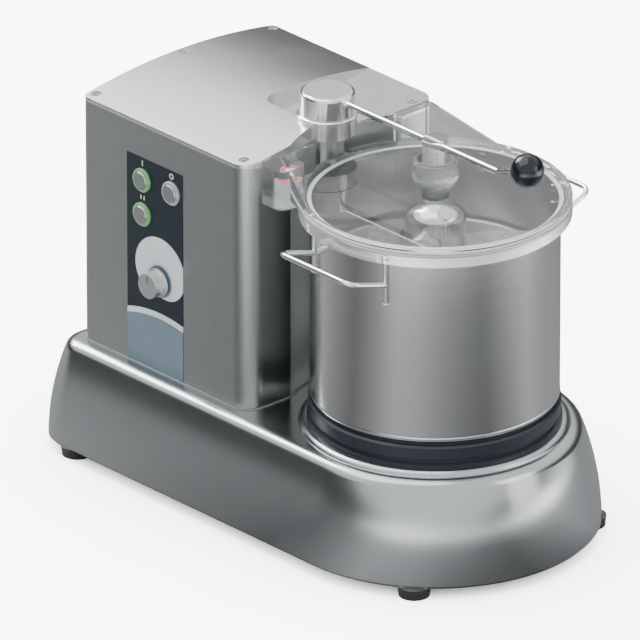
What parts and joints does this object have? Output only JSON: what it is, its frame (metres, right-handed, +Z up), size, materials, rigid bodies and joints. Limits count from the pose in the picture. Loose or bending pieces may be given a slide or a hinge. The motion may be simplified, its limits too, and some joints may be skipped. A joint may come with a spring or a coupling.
{
  "type": "bowl cutter",
  "caption": "Tabletop food cutter: fixed steel bowl with clear lid, swing lever, serrated blades on a belt-driven spindle, tall motor housing and flared cast base.",
  "frame": {"origin": "middle of the footprint, on the surface that the rubber feet stand on", "axes": "+X from the motor housing to the bowl, +Y from the operator's side with the controls to the back, +Z up"},
  "size_m": [0.5659, 0.322, 0.435],
  "materials": {
    "cast_aluminium": "satin, polished casting",
    "plate_steel": "plain sheet",
    "zinc_screws": "bright zinc",
    "foot_rubber": "matte black",
    "housing_steel": "fine satin",
    "cover_metal": "satin, slightly warm",
    "label_print": "printed film, satin",
    "bezel_green": "translucent green ring",
    "bezel_grey": "satin",
    "button_steel": "satin",
    "switch_black": "moulded",
    "pot_body": "moulded",
    "board_green": "circuit board",
    "board_dark": "moulded parts",
    "seal_black": "semi-gloss black",
    "belt_rubber": "matte black",
    "gasket_grey": "clear grey silicone",
    "cast_housing": "machined casting",
    "bearing_steel": "ground",
    "motor_paint": "blue-grey enamel",
    "copper_winding": "varnished windings",
    "shaft_steel": "ground",
    "pulley_iron": "turned",
    "bush_bronze": "sintered bronze",
    "bowl_steel": "spun satin",
    "bright_chrome": "mirror bright",
    "clear_plastic": "clear polycarbonate",
    "magnet_red": "red cap",
    "blade_steel": "ground edge",
    "ball_black": "gloss black",
    "knob_silver": "satin silver"
  },
  "bodies": {
    "machine": {"base_casting": "cast_aluminium", "base_plate": "plate_steel", "base_plate_screws": "zinc_screws", "rubber_feet": "foot_rubber", "foot_screws": "zinc_screws", "housing_shell": "housing_steel", "top_cover": "cover_metal", "top_cover_screws": "zinc_screws", "control_label": "label_print", "start_bezel": "bezel_green", "pulse_bezel": "bezel_green", "stop_bezel": "bezel_grey", "switch_bodies": "switch_black", "speed_potentiometer": "pot_body", "control_board": "board_green", "board_parts": "board_dark", "board_posts": "zinc_screws", "bowl_seat_ring": "seal_black", "spindle_housing": "cast_housing", "upper_bearing": "bearing_steel", "lower_bearing": "bearing_steel", "motor_case": "motor_paint", "motor_stator": "copper_winding", "motor_flange": "motor_paint", "motor_bolts": "zinc_screws", "drive_belt": "belt_rubber", "cable_gland": "switch_black", "lid_sensor": "switch_black", "lever_base_ring": "bright_chrome", "lever_bush": "bush_bronze", "lever_switch": "switch_black", "bowl": "bowl_steel", "front_handle": "bright_chrome", "rear_handle": "bright_chrome", "lid": "clear_plastic", "lid_skirt": "clear_plastic", "lid_gasket": "gasket_grey", "lid_hub": "clear_plastic", "lid_magnet": "magnet_red"},
    "spindle": {"spindle_shaft": "shaft_steel", "spindle_pulley": "pulley_iron", "blade_hub": "blade_steel", "lower_blade": "blade_steel", "upper_blade": "blade_steel", "blade_cap": "bright_chrome"},
    "rotor": {"motor_shaft": "shaft_steel", "motor_rotor": "shaft_steel", "motor_pulley": "pulley_iron"},
    "lever": {"lever_cap": "bright_chrome", "lever_shaft": "shaft_steel", "lever_cam": "shaft_steel", "lever_rod": "bright_chrome", "lever_ball": "ball_black"},
    "start_key": {"start_button": "button_steel"},
    "pulse_key": {"pulse_button": "button_steel"},
    "stop_key": {"stop_button": "button_steel"},
    "knob": {"speed_knob": "knob_silver"}
  },
  "joints": [
    {"name": "lever_swing", "type": "hinge", "parent": "machine", "child": "lever", "pos_m": [-0.03, 0, 0.404], "axis": [0, 0, 1], "range_deg": [0, 105]},
    {"name": "spindle_spin", "type": "hinge", "parent": "machine", "child": "spindle", "pos_m": [0.122, 0, 0.1605], "axis": [0, 0, 1], "continuous": true},
    {"name": "motor_spin", "type": "hinge", "parent": "machine", "child": "rotor", "pos_m": [-0.136, 0, 0.1605], "axis": [0, 0, 1], "continuous": true},
    {"name": "start_press", "type": "slide", "parent": "machine", "child": "start_key", "axis": [0, 1, 0], "range_m": [0, 0.003], "stiffness_N_per_m": 350},
    {"name": "pulse_press", "type": "slide", "parent": "machine", "child": "pulse_key", "axis": [0, 1, 0], "range_m": [0, 0.003], "stiffness_N_per_m": 350},
    {"name": "stop_press", "type": "slide", "parent": "machine", "child": "stop_key", "axis": [0, 1, 0], "range_m": [0, 0.003], "stiffness_N_per_m": 350},
    {"name": "speed_turn", "type": "hinge", "parent": "machine", "child": "knob", "pos_m": [-0.1323, -0.124, 0.212], "axis": [0, 1, 0], "range_deg": [0, 270]}
  ],
  "couplings": [
    {"joint": "motor_spin", "follows": "spindle_spin", "ratio": 1.5}
  ]
}
